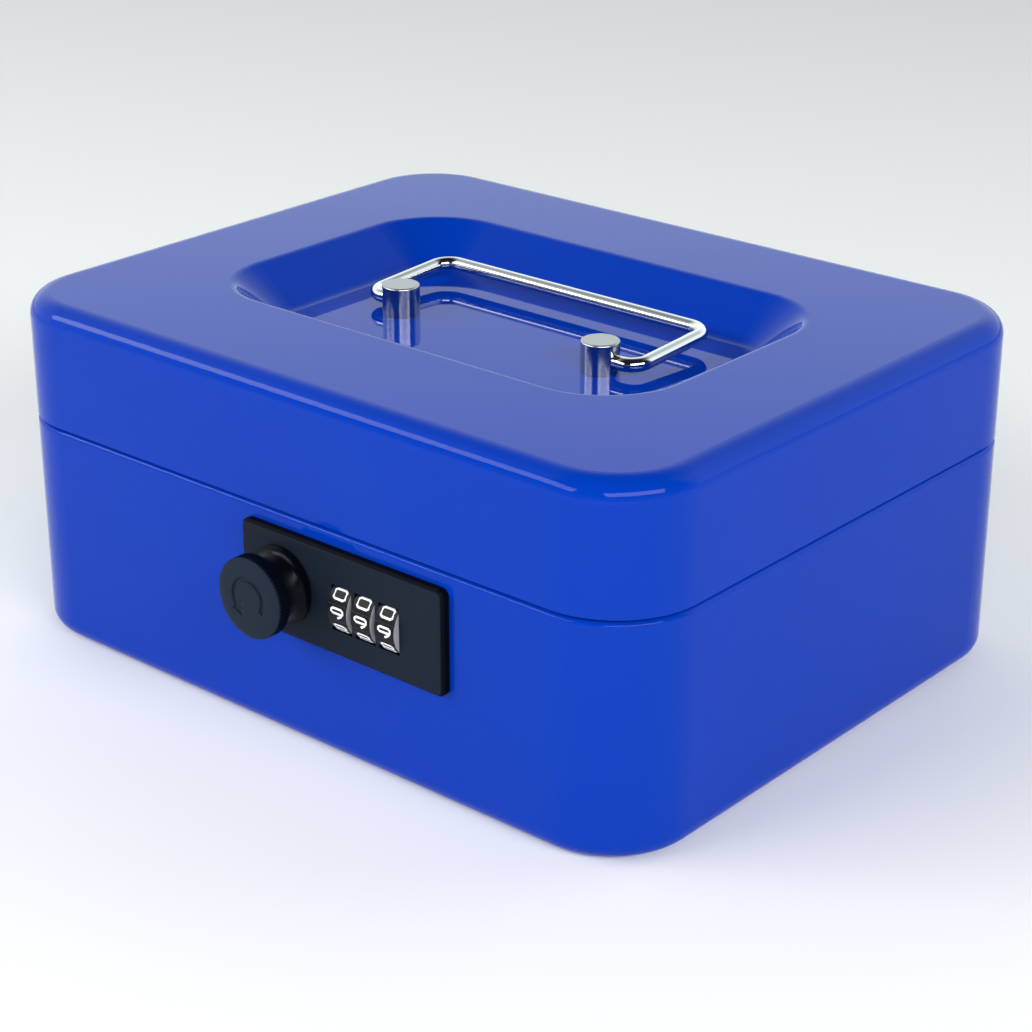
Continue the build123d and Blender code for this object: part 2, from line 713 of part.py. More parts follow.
# Leaf spring under the wheels, one finger for each
leaf_z = case_bottom + case_wall
leaf_tip_z = wheel_z - wheel_radius - leaf_wheel_gap
with BuildPart() as detent_spring:
    with BuildSketch(Plane.YZ.offset(wheel_xs[0] - leaf_width / 2)):
        with Locations((wheel_y + leaf_reach + leaf_foot / 2, leaf_z + leaf_thickness / 2)):
            Rectangle(leaf_foot, leaf_thickness)
    extrude(amount=wheel_xs[-1] - wheel_xs[0] + leaf_width)
    for x in wheel_xs:
        with BuildSketch(Plane.YZ.offset(x - leaf_width / 2)):
            with BuildLine():
                Polyline(
                    (wheel_y + leaf_reach, leaf_z),
                    (wheel_y + leaf_reach, leaf_z + leaf_thickness),
                    (wheel_y, leaf_tip_z),
                    (wheel_y - leaf_tip_length, leaf_tip_z - leaf_tip_drop),
                    (wheel_y - leaf_tip_length, leaf_tip_z - leaf_tip_drop - leaf_thickness),
                    (wheel_y, leaf_tip_z - leaf_thickness),
                    close=True,
                )
            make_face()
        extrude(amount=leaf_width)
detent_spring.part.label = "detent_spring"
export_step(detent_spring.part, "parts/detent_spring.step")


# Knob: a spool with a flange at the plate and a thick round head
with BuildPart() as knob:
    with BuildSketch(Plane.XY.offset(lock_z)):
        with BuildLine():
            back = plate_face_y - knob_plate_gap
            flange_front = back - knob_flange_edge
            waist_y = plate_face_y - knob_waist_front
            head_back = plate_face_y - knob_head_back
            face_edge = plate_face_y - knob_length + knob_dome
            rim_front = face_edge + knob_head_round
            Polyline(
                (knob_x, back),
                (knob_x + knob_flange_radius, back),
                (knob_x + knob_flange_radius, flange_front),
            )
            ThreePointArc(
                (knob_x + knob_flange_radius, flange_front),
                (knob_x + knob_waist_radius + knob_flare, flange_front - knob_flare_rise),
                (knob_x + knob_waist_radius, waist_y),
            )
            Polyline(
                (knob_x + knob_waist_radius, waist_y),
                (knob_x + knob_waist_radius, head_back + knob_head_slope),
                (knob_x + knob_head_radius - knob_head_round, head_back + knob_head_round),
                (knob_x + knob_head_radius, head_back),
                (knob_x + knob_head_radius, rim_front),
                (knob_x + knob_face_radius, face_edge),
            )
            ThreePointArc(
                (knob_x + knob_face_radius, face_edge),
                (
                    knob_x + knob_face_radius / 2,
                    face_edge - dome(knob_face_radius, knob_dome, knob_face_radius / 2),
                ),
                (knob_x, face_edge - knob_dome),
            )
            Line((knob_x, face_edge - knob_dome), (knob_x, back))
        make_face()
    revolve(axis=Axis((knob_x, 0, lock_z), (0, 1, 0)))
    with BuildSketch(Plane.XZ.offset(-back)):
        with Locations((knob_x, lock_z)):
            Circle(spindle_radius + press_gap)
    extrude(amount=knob_socket, mode=Mode.SUBTRACT)
knob.part.label = "knob"
export_step(knob.part, "parts/knob.step")

spindle_front_y = plate_face_y - knob_plate_gap - knob_socket + spindle_end_gap
square_start_y = latch_y - spindle_step_gap
thread_start_y = washer_y - spindle_step_gap
with BuildPart() as knob_spindle:
    with BuildSketch(Plane.XZ.offset(-spindle_front_y)):
        with Locations((knob_x, lock_z)):
            Circle(spindle_radius)
    extrude(amount=spindle_front_y - square_start_y)
    with BuildSketch(Plane.XZ.offset(-square_start_y)):
        with Locations((knob_x, lock_z)):
            Rectangle(spindle_square, spindle_square)
    extrude(amount=square_start_y - thread_start_y)
    with BuildSketch(Plane.XZ.offset(-thread_start_y)):
        with Locations((knob_x, lock_z)):
            Circle(spindle_thread_radius)
    extrude(amount=thread_start_y - spindle_end_y)
knob_spindle.part.label = "knob_spindle"
export_step(knob_spindle.part, "parts/knob_spindle.step")

# Spiral cam on the spindle: its radius grows evenly with the turn, so it lifts the fence evenly
cam_rise = fence_travel / radians(knob_turn)
cam_start = radians(-cam_lead)
cam_end = radians(knob_turn + cam_lead)
cam_back = (cam_start + cam_end) / 2 + pi


def cam_point(angle, radius):
    """A point of the cam, its angle taken from straight up towards +X."""
    return (knob_x + radius * sin(angle), lock_z + radius * cos(angle))


spiral_steps = 8
spiral_angles = [cam_start + (cam_end - cam_start) * step / spiral_steps for step in range(spiral_steps + 1)]
spiral = [cam_point(angle, fence_cam_radius + cam_rise * angle) for angle in spiral_angles]
with BuildPart() as fence_cam:
    with BuildSketch(Plane.XZ.offset(fence_cam_thickness / 2 - wheel_y)):
        with BuildLine():
            Spline(*spiral)
            ThreePointArc(spiral[-1], cam_point(cam_back, fence_cam_radius), spiral[0])
        make_face()
        with Locations((knob_x, lock_z)):
            Circle(spindle_radius + press_gap, mode=Mode.SUBTRACT)
    extrude(amount=-fence_cam_thickness)
fence_cam.part.label = "fence_cam"
export_step(fence_cam.part, "parts/fence_cam.step")

# Latch arm, washer and nut on the rear end of the spindle; the arm points up when unlocked
with BuildPart() as latch_arm:
    with BuildSketch(Plane.XZ.offset(-latch_y)):
        with Locations((knob_x, lock_z)):
            Circle(latch_hub_radius)
        with Locations((knob_x, lock_z + latch_arm_length / 2)):
            RectangleRounded(latch_arm_width, latch_arm_length, latch_arm_corner)
        with Locations((knob_x, lock_z)):
            Rectangle(spindle_square + 2 * press_gap, spindle_square + 2 * press_gap, mode=Mode.SUBTRACT)
    extrude(amount=-latch_arm_thickness)
latch_arm.part.label = "latch_arm"
export_step(latch_arm.part, "parts/latch_arm.step")

with BuildPart() as spindle_washer:
    with BuildSketch(Plane.XZ.offset(-washer_y)):
        with Locations((knob_x, lock_z)):
            Circle(nut_radius + washer_margin)
            Circle(spindle_thread_radius + screw_clearance, mode=Mode.SUBTRACT)
    extrude(amount=-spindle_washer_thickness)
spindle_washer.part.label = "spindle_washer"
export_step(spindle_washer.part, "parts/spindle_washer.step")

with BuildPart() as spindle_nut:
    with BuildSketch(Plane.XZ.offset(-nut_y)):
        with Locations((knob_x, lock_z)):
            RegularPolygon(nut_radius, 6)
            Circle(spindle_thread_radius + press_gap, mode=Mode.SUBTRACT)
    extrude(amount=-nut_height)
spindle_nut.part.label = "spindle_nut"
export_step(spindle_nut.part, "parts/spindle_nut.step")


# Fence: a bar over the wheels with a finger for each code ring and a foot over the cam
fence_left = case_left + case_wall + fence_end_gap
fence_right = case_right - case_wall - fence_end_gap
fence_length = fence_right - fence_left
with BuildPart() as locking_fence:
    with BuildSketch(Plane.XZ.offset(fence_width / 2 - wheel_y)):
        with Locations((fence_left + fence_length / 2, fence_bar_z + fence_bar_height / 2)):
            Rectangle(fence_length, fence_bar_height)
        foot_z = lock_z + fence_cam_radius + fence_cam_gap
        root_z = fence_bar_z + fence_root
        with Locations((knob_x, (foot_z + root_z) / 2)):
            Rectangle(fence_foot, root_z - foot_z)
        finger_z = wheel_z + code_ring_radius + fence_ring_gap
        for x in wheel_xs:
            finger_x = x + wheel_width / 2 + fence_side_gap + fence_finger / 2
            with Locations((finger_x, (finger_z + root_z) / 2)):
                Rectangle(fence_finger, root_z - finger_z)
    extrude(amount=-fence_width)
locking_fence.part.label = "locking_fence"
export_step(locking_fence.part, "parts/locking_fence.step")

with BuildPart() as fence_spring:
    spring_inset = spring_wire / 2 + spring_end_gap
    spring_z = fence_bar_z + fence_bar_height + spring_inset
    spring_height = case_top - case_wall - spring_inset - spring_z
    with BuildLine() as spring_path:
        Helix(
            pitch=spring_height / spring_turns,
            height=spring_height,
            radius=spring_radius,
            center=(case_middle_x, wheel_y, spring_z),
        )
    with BuildSketch(Plane(origin=spring_path.line @ 0, z_dir=spring_path.line % 0)):
        Circle(spring_wire / 2)
    sweep(is_frenet=True)
fence_spring.part.label = "fence_spring"
export_step(fence_spring.part, "parts/fence_spring.step")


# Reset button in the back of the lock case, reached only with the lid open
with BuildPart() as reset_button:
    button_front = case_back_y - case_wall - button_flange - button_flange_gap
    with BuildSketch(Plane.XZ.offset(-button_front)):
        with Locations((button_x, button_z)):
            Circle(button_flange_radius)
    extrude(amount=-button_flange)
    with BuildSketch(Plane.XZ.offset(-button_front)):
        with Locations((button_x, button_z)):
            Circle(button_radius)
    extrude(amount=-(case_back_y + button_head - button_front))
    fillet(reset_button.edges().group_by(Axis.Y)[-1], button_round)
reset_button.part.label = "reset_button"
export_step(reset_button.part, "parts/reset_button.step")


# Strike: a plate inside the lid's front skirt, a leg hanging from it and a toe under the latch
strike_leg_x = case_left - ear_length - strike_side_gap - strike_leg_width / 2
leg_front_y = wall_inner_y + strike_leg_inset
strike_pad_z = neck_top + strike_pad_gap
toe_top_z = lock_z - latch_arm_width / 2 - strike_clearance
with BuildPart() as strike:
    with BuildSketch(Plane.XZ.offset(-wall_inner_y)):
        with Locations((strike_leg_x, strike_pad_z + strike_pad_height / 2)):
            RectangleRounded(strike_pad_width, strike_pad_height, strike_corner)
    extrude(amount=-strike_sheet)
    with BuildSketch(Plane.YZ.offset(strike_leg_x - strike_leg_width / 2)):
        with BuildLine():
            toe_end_y = washer_y + strike_toe_lap
            Polyline(
                (wall_inner_y, strike_pad_z),
                (wall_inner_y, strike_pad_z + strike_sheet),
                (leg_front_y + strike_sheet, strike_pad_z + strike_sheet),
                (leg_front_y + strike_sheet, toe_top_z),
                (toe_end_y, toe_top_z),
                (toe_end_y, toe_top_z - strike_sheet),
                (leg_front_y, toe_top_z - strike_sheet),
                (leg_front_y, strike_pad_z),
                close=True,
            )
        make_face()
    extrude(amount=strike_leg_width)
strike.part.label = "strike"
export_step(strike.part, "parts/strike.step")


# Coin tray: pockets for coins in front, for notes behind, hung on the neck's rim
tray_length = neck_length - 2 * sheet - 2 * tray_side_gap
tray_rear_y = rear_y - neck_step - sheet - tray_rear_gap
tray_depth = tray_rear_y - tray_front_y
tray_centre_y = (tray_rear_y + tray_front_y) / 2
tray_top = neck_top + tray_flange
tray_bottom = tray_top - tray_height
tray_corner = neck_corner - sheet - 1


def tray_pockets(low_y, high_y, count):
    """One row of equal pockets, cut down to the tray's floor."""
    room = tray_length - (count + 1) * tray_wall
    with BuildSketch(Plane.XY.offset(tray_bottom + tray_floor)) as row:
        with Locations((0, (low_y + high_y) / 2)):
            with GridLocations(room / count + tray_wall, 0, count, 1):
                RectangleRounded(room / count, high_y - low_y, tray_pocket_radius)
    return row.sketch


with BuildPart() as coin_tray:
    with BuildSketch(Plane.XY.offset(tray_bottom)):
        with Locations((0, tray_centre_y)):
            RectangleRounded(tray_length, tray_depth, tray_pocket_radius + tray_wall)
        with Locations((0, tray_rear_y - tray_corner)):
            Rectangle(tray_length, 2 * tray_corner, mode=Mode.SUBTRACT)
            RectangleRounded(tray_length, 2 * tray_corner, tray_corner - 0.01)
        with Locations((0, tray_rear_y - 1.5 * tray_corner)):
            Rectangle(tray_length, tray_corner)
    extrude(amount=tray_height)
    fillet(coin_tray.edges().group_by(Axis.Z)[0], tray_bottom_radius)
    with BuildSketch(Plane.XY.offset(tray_top - tray_flange)):
        with Locations((0, tray_centre_y - tray_corner / 2)):
            Rectangle(
                neck_length - 2 * sheet + 2 * tray_rim_lap,
                tray_depth - tray_corner - 2 * tray_pocket_radius,
            )
    extrude(amount=tray_flange)
    extrude(
        tray_pockets(tray_front_y + tray_wall, tray_divider_y, tray_coin_pockets),
        amount=tray_height,
        mode=Mode.SUBTRACT,
    )
    extrude(
        tray_pockets(tray_divider_y + tray_wall, tray_rear_y - tray_wall, tray_note_pockets),
        amount=tray_height,
        mode=Mode.SUBTRACT,
    )
coin_tray.part.label = "coin_tray"
export_step(coin_tray.part, "parts/coin_tray.step")

print("hinge axis", 0, hinge_y, seam_height)
print("handle pivot", post_y, pivot_z)
print("lock axis", knob_x, lock_z, "wheel axis", wheel_y, wheel_z)
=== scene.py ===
import json
import math

import bmesh
import bpy
from mathutils import Matrix, Vector


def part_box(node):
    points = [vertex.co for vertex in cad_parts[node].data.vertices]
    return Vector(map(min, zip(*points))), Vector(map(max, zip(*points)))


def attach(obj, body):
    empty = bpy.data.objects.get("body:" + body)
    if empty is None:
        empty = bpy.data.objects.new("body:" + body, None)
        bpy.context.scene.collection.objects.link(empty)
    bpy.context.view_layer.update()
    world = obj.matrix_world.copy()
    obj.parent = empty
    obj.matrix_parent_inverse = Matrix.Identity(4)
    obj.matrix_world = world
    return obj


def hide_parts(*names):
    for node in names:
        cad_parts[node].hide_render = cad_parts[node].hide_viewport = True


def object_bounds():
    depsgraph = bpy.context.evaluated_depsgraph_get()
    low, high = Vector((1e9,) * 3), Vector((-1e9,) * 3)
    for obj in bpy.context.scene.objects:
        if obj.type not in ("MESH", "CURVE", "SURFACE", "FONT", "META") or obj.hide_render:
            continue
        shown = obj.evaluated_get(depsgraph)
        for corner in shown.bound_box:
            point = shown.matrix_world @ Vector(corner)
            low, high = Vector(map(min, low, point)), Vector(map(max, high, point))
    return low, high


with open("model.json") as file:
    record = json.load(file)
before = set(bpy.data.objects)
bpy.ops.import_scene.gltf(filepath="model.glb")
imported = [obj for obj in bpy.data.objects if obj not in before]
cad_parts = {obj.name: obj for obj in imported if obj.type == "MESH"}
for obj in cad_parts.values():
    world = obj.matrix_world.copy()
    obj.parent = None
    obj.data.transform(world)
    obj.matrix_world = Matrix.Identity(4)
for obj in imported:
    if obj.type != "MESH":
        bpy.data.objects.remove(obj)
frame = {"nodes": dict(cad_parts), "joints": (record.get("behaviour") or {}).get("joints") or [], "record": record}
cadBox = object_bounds()
record = frame["record"]
joints = {joint["name"]: joint for joint in frame["joints"]}
print("cash box: frame loaded,", len(frame["nodes"]), "solids")


# ---- shader tools

class Wire:
    # one shader value; arithmetic on it adds the math nodes
    def __init__(self, shade, socket):
        self.shade = shade
        self.socket = socket

    def __add__(self, other):
        return self.shade.maths("ADD", self, other)

    def __sub__(self, other):
        return self.shade.maths("SUBTRACT", self, other)

    def __rsub__(self, other):
        return self.shade.maths("SUBTRACT", other, self)

    def __mul__(self, other):
        return self.shade.maths("MULTIPLY", self, other)

    def __truediv__(self, other):
        return self.shade.maths("DIVIDE", self, other)

    def __pow__(self, other):
        return self.shade.maths("POWER", self, other)

    __radd__ = __add__
    __rmul__ = __mul__


class Shade:
    # the node tree of a material or of the world
    def __init__(self, owner):
        owner.use_nodes = True
        self.owner = owner
        self.tree = owner.node_tree
        self.tree.nodes.clear()

    def node(self, kind, settings=None, sockets=None, out=0):
        made = self.tree.nodes.new("ShaderNode" + kind)
        for key, value in (settings or {}).items():
            if key == "stops":
                self.setStops(made.color_ramp.elements, value)
            else:
                setattr(made, key, value)
        for key, value in (sockets or {}).items():
            if isinstance(value, Wire):
                self.tree.links.new(value.socket, made.inputs[key])
            else:
                made.inputs[key].default_value = value
        return Wire(self, made.outputs[out]) if made.outputs else None

    def setStops(self, elements, stops):
        while len(elements) < len(stops):
            elements.new(1.0)
        for element, (place, colour) in zip(elements, stops):
            element.position = place
            element.color = colour

    def maths(self, operation, *values):
        return self.node("Math", {"operation": operation}, dict(enumerate(values)))

    def blendColour(self, factor, first, second):
        return self.node("Mix", {"data_type": "RGBA"}, {0: factor, 6: first, 7: second}, 2)

    def step(self, value, low, high):
        return self.node(
            "MapRange",
            {"interpolation_type": "SMOOTHSTEP"},
            {"Value": value, "From Min": low, "From Max": high},
        )

    def place(self):
        return self.node("TexCoord", out="Object")

    def axes(self, vector):
        return [self.node("SeparateXYZ", {}, {0: vector}, axis) for axis in "XYZ"]

    def stretched(self, scale):
        return self.node("Mapping", {}, {"Vector": self.place(), "Scale": scale})

    def noise(self, scale, detail=2.0, rough=0.5, vector=None):
        source = vector or self.place()
        return self.node(
            "TexNoise",
            {},
            {"Vector": source, "Scale": scale, "Detail": detail, "Roughness": rough},
        )

    def bump(self, height, distance, strength=1.0):
        return self.node(
            "Bump",
            {},
            {"Strength": strength, "Distance": distance, "Height": height},
        )

    def finish(self, sockets):
        surface = self.node("BsdfPrincipled", {}, sockets)
        self.node("OutputMaterial", {}, {"Surface": surface})
        return self.owner


def newFinish(name):
    return Shade(bpy.data.materials.new(name))


# ---- places read from the frame

def middle(node):
    low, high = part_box(node)
    return (low + high) / 2


knobAxis = Vector(joints["knob_turn"]["pos_m"])
postMiddle = middle("handle_post_right")
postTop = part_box("handle_post_right")[1].z
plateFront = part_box("lock_plate")[0].y
knobFront, knobBack = (corner.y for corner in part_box("knob"))


# ---- finishes

enamel = {
    "deep": (0.0004, 0.034, 0.375, 1),
    "light": (0.0008, 0.039, 0.405, 1),
    "cloud": 16.0,        # slow change of the film's thickness, per metre
    "peel": 330.0,        # orange peel, waves per metre
    "peelHeight": 0.000012,
    "speck": 1500.0,
    "roughness": 0.32,
    "coatIor": 1.2,
    "coatRoughness": 0.035,
}


def blueEnamel():
    shade = newFinish("blueEnamel")
    cloud = shade.noise(enamel["cloud"], 3.0)
    speck = shade.step(shade.noise(enamel["speck"], 1.0), 0.72, 0.8)
    colour = shade.blendColour(cloud, enamel["deep"], enamel["light"])
    peel = shade.noise(enamel["peel"], 2.0, 0.4) + shade.noise(enamel["peel"] / 4, 1.0) * 1.6
    scuff = shade.noise(60.0, 6.0, 0.7)
    return shade.finish({
        "Base Color": colour,
        "Roughness": enamel["roughness"] + scuff * 0.12,
        "Specular IOR Level": 0.0,
        "Coat Weight": 1 - speck * 0.1,
        "Coat IOR": enamel["coatIor"],
        "Coat Roughness": enamel["coatRoughness"],
        "Normal": shade.bump(peel + speck * 0.2, enamel["peelHeight"]),
    })


plateCoat = {
    "dark": (0.0085, 0.0135, 0.024, 1),
    "pale": (0.0125, 0.0185, 0.031, 1),
    # painted shade: the colour for the plate's chamfer and sides
    "rim": (0.0015, 0.002, 0.0045, 1),
    "rimStart": 0.0001,
    "rimEnd": 0.0003,
    "grain": 5200.0,
    "grainHeight": 0.000012,
    "roughness": 0.42,
}


def blackPlate():
    # slate face; the chamfer and sides get painted shade, a darker colour than the face
    shade = newFinish("blackPlateLacquer")
    grain = shade.noise(plateCoat["grain"], 2.0)
    cloud = shade.noise(45.0, 3.0)
    x, y, z = shade.axes(shade.place())
    # painted shade: the mask that darkens the plate behind its front face
    rim = shade.step(y - plateFront, plateCoat["rimStart"], plateCoat["rimEnd"])
    face = shade.blendColour(cloud, plateCoat["dark"], plateCoat["pale"])
    return shade.finish({
        "Base Color": shade.blendColour(rim, face, plateCoat["rim"]),
        "Roughness": plateCoat["roughness"] + grain * 0.1,
        "Specular IOR Level": 0.04,
        "Normal": shade.bump(grain, plateCoat["grainHeight"]),
    })


knobPlastic = {
    "dark": (0.008, 0.014, 0.026, 1),
    "pale": (0.013, 0.022, 0.037, 1),
    "grain": 3600.0,
    "grainHeight": 0.00001,
    # painted shade: the colour for the parts behind the knob's face
    "waist": (0.0012, 0.0018, 0.004, 1),
    "shadeDepth": 0.0012,
    "faceRoughness": 0.45,
    "flareRoughness": 0.2,
}


def blackKnob():
    # slate head; the knurled side, waist and collar behind the face get painted shade, a darker colour
    shade = newFinish("blackKnobPlastic")
    grain = shade.noise(knobPlastic["grain"], 2.0)
    x, y, z = shade.axes(shade.place())
    flare = shade.step(y, knobAxis.y, knobAxis.y + 0.002)    # the collar by the plate is glossier
    spread = knobPlastic["flareRoughness"] - knobPlastic["faceRoughness"]
    depth = y - knobFront
    # painted shade: darkens all of the knob more than about a millimetre behind its face
    behind = shade.step(depth, knobPlastic["shadeDepth"] / 2, knobPlastic["shadeDepth"])
    face = shade.blendColour(grain, knobPlastic["dark"], knobPlastic["pale"])
    return shade.finish({
        "Base Color": shade.blendColour(behind, face, knobPlastic["waist"]),
        "Roughness": knobPlastic["faceRoughness"] + flare * spread + grain * 0.06,
        "Specular IOR Level": 0.07,
        "Normal": shade.bump(grain * (1 - flare), knobPlastic["grainHeight"]),
    })


wheelPlastic = {
    "tread": (0.006, 0.0065, 0.008, 1),
    "side": (0.3, 0.31, 0.335, 1),
    "grain": 4000.0,
}


def blackWheel():
    # black tread with bare light sides
    shade = newFinish("blackWheelPlastic")
    x, y, z = shade.axes(shade.node("TexCoord", out="Normal"))
    side = shade.step(shade.maths("ABSOLUTE", x), 0.8, 0.95)
    grain = shade.noise(wheelPlastic["grain"], 2.0)
    return shade.finish({
        "Base Color": shade.blendColour(side, wheelPlastic["tread"], wheelPlastic["side"]),
        "Roughness": 0.34 + grain * 0.1,
        "Specular IOR Level": 0.12,
        "Normal": shade.bump(grain, 0.000005),
    })


def numberPaint():
    shade = newFinish("numberPaint")
    grain = shade.noise(2600.0, 2.0)
    return shade.finish({
        "Base Color": shade.blendColour(grain, (0.94, 0.94, 0.94, 1), (0.99, 0.99, 0.99, 1)),
        "Roughness": 0.4 + grain * 0.1,
        "Normal": shade.bump(grain, 0.000006),
    })


def brightChrome():
    shade = newFinish("brightChrome")
    scratch = shade.noise(900.0, 4.0, 0.6)
    haze = shade.noise(120.0, 3.0)
    return shade.finish({
        "Base Color": shade.blendColour(haze, (0.6, 0.6, 0.61, 1), (0.68, 0.68, 0.68, 1)),
        "Metallic": 1.0,
        "Roughness": 0.05 + haze * 0.05,
        "Normal": shade.bump(scratch, 0.0000015),
    })


postSteel = {
    "ring": 5200.0,       # turning marks on the flat top, per metre of radius
    "ringHeight": 0.000008,
    "topRoughness": 0.4,
    "sideRoughness": 0.13,
    "line": 2500.0,
}


def satinSteel():
    # turned posts: rings on the darker flat top, polished round the side
    shade = newFinish("satinSteel")
    x, y, z = shade.axes(shade.place())
    across = shade.maths("ABSOLUTE", x) - postMiddle.x
    along = y - postMiddle.y
    radius = shade.maths("SQRT", across * across + along * along)
    ring = shade.node(
        "TexNoise",
        {"noise_dimensions": "1D"},
        {"W": radius * postSteel["ring"], "Scale": 1.0, "Detail": 2.0},
    )
    line = shade.node(
        "TexNoise",
        {"noise_dimensions": "1D"},
        {"W": z * postSteel["line"], "Scale": 1.0, "Detail": 3.0},
    )
    top = shade.step(z, postTop - 0.00045, postTop - 0.0001)
    spread = postSteel["topRoughness"] - postSteel["sideRoughness"]
    height = ring * top + line * (1 - top) * 0.25
    return shade.finish({
        "Base Color": shade.blendColour(ring, (0.36, 0.37, 0.38, 1), (0.5, 0.5, 0.51, 1)),
        "Metallic": 1.0,
        "Roughness": postSteel["sideRoughness"] + top * spread + line * 0.08,
        "Normal": shade.bump(height, postSteel["ringHeight"]),
    })


def zincPlate():
    shade = newFinish("zincPlate")
    spangle = shade.noise(420.0, 4.0, 0.6)
    grain = shade.noise(5000.0, 2.0)
    return shade.finish({
        "Base Color": shade.blendColour(spangle, (0.46, 0.47, 0.5, 1), (0.66, 0.67, 0.68, 1)),
        "Metallic": 1.0,
        "Roughness": 0.24 + spangle * 0.2,
        "Normal": shade.bump(grain, 0.000004),
    })


def castZinc():
    shade = newFinish("castZinc")
    pit = shade.noise(1500.0, 5.0, 0.7)
    cloud = shade.noise(90.0, 3.0)
    return shade.finish({
        "Base Color": shade.blendColour(cloud, (0.34, 0.35, 0.37, 1), (0.46, 0.47, 0.49, 1)),
        "Metallic": 1.0,
        "Roughness": 0.42 + pit * 0.2,
        "Normal": shade.bump(pit, 0.00002),
    })


def springSteel():
    shade = newFinish("springSteel")
    draw = shade.noise(1.0, 3.0, 0.5, shade.stretched((300, 3000, 3000)))
    return shade.finish({
        "Base Color": shade.blendColour(draw, (0.2, 0.21, 0.25, 1), (0.36, 0.35, 0.36, 1)),
        "Metallic": 1.0,
        "Roughness": 0.26 + draw * 0.14,
        "Normal": shade.bump(draw, 0.000004),
    })


def trayPlastic():
    shade = newFinish("trayPlastic")
    leather = shade.node(
        "TexVoronoi",
        {"feature": "SMOOTH_F1"},
        {"Vector": shade.place(), "Scale": 1400.0},
    )
    cloud = shade.noise(30.0, 3.0)
    return shade.finish({
        "Base Color": shade.blendColour(cloud, (0.012, 0.012, 0.014, 1), (0.02, 0.02, 0.023, 1)),
        "Roughness": 0.46 + leather * 0.12,
        "Normal": shade.bump(leather, 0.00004),
    })


def redButton():
    shade = newFinish("redButton")
    grain = shade.noise(2500.0, 2.0)
    return shade.finish({
        "Base Color": shade.blendColour(grain, (0.44, 0.012, 0.01, 1), (0.52, 0.02, 0.016, 1)),
        "Roughness": 0.28 + grain * 0.1,
        "Normal": shade.bump(grain, 0.000006),
    })


finishes = {
    "blue_enamel": blueEnamel(),
    "black_plate": blackPlate(),
    "black_knob": blackKnob(),
    "black_wheel": blackWheel(),
    "bright_chrome": brightChrome(),
    "satin_steel": satinSteel(),
    "zinc_plated_steel": zincPlate(),
    "cast_zinc": castZinc(),
    "spring_steel": springSteel(),
    "tray_plastic": trayPlastic(),
    "red_button": redButton(),
}
for part in record["subparts"]:
    solid = frame["nodes"][part["node"]]
    solid.data.materials.clear()
    solid.data.materials.append(finishes[part["material_slot"]])
print("cash box: finishes on the solids")


# ---- piece tools

def addPiece(name, mesh, finish, body):
    mesh.materials.clear()
    mesh.materials.append(finish)
    piece = bpy.data.objects.new(name, mesh)
    bpy.context.scene.collection.objects.link(piece)
    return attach(piece, body)


def meshFrom(name, shape, smoothAngle=math.radians(35)):
    bmesh.ops.remove_doubles(shape, verts=shape.verts, dist=1e-7)
    bmesh.ops.recalc_face_normals(shape, faces=shape.faces)
    for face in shape.faces:
        face.smooth = True
    for edge in shape.edges:
        edge.smooth = len(edge.link_faces) == 2 and edge.calc_face_angle(0) < smoothAngle
    mesh = bpy.data.meshes.new(name)
    shape.to_mesh(mesh)
    shape.free()
    return mesh


def cutFrom(mesh, cutter, name):
    # takes the cutter's shape out of the mesh
    body = bpy.data.objects.new(name + "Blank", mesh)
    tool = bpy.data.objects.new(name + "Tool", cutter)
    for item in (body, tool):
        bpy.context.scene.collection.objects.link(item)
    cut = body.modifiers.new("cut", "BOOLEAN")
    cut.operation = "DIFFERENCE"
    cut.solver = "EXACT"
    cut.object = tool
    bpy.context.view_layer.update()
    ready = body.evaluated_get(bpy.context.evaluated_depsgraph_get())
    made = bpy.data.meshes.new_from_object(ready)
    for item in (body, tool):
        bpy.data.objects.remove(item)
    return made


# ---- knob: a one-piece spool with a knurled head and an engraved turn arrow

knob = {
    "steps": 288,
    "ribs": 72,
    "ribDepth": 0.00022,
    "flange": 0.0095,
    "flangeEdge": 0.0007,
    "flareRise": 0.0042,
    "waist": 0.0064,
    "head": 0.0098,
    "headBack": 0.0066,   # in front of the flange's back face
    "ribStart": 0.0073,
    "ribEnd": 0.0102,
    "face": 0.0093,
    "dome": 0.0003,
    "arrowRadius": 0.0046,
    "arrowWidth": 0.0013,
    "arrowDepth": 0.00045,
    "arrowHead": 0.0011,     # beyond each side of the band
    "arrowLength": 0.0026,
    "arrowSweep": math.radians(250),
}


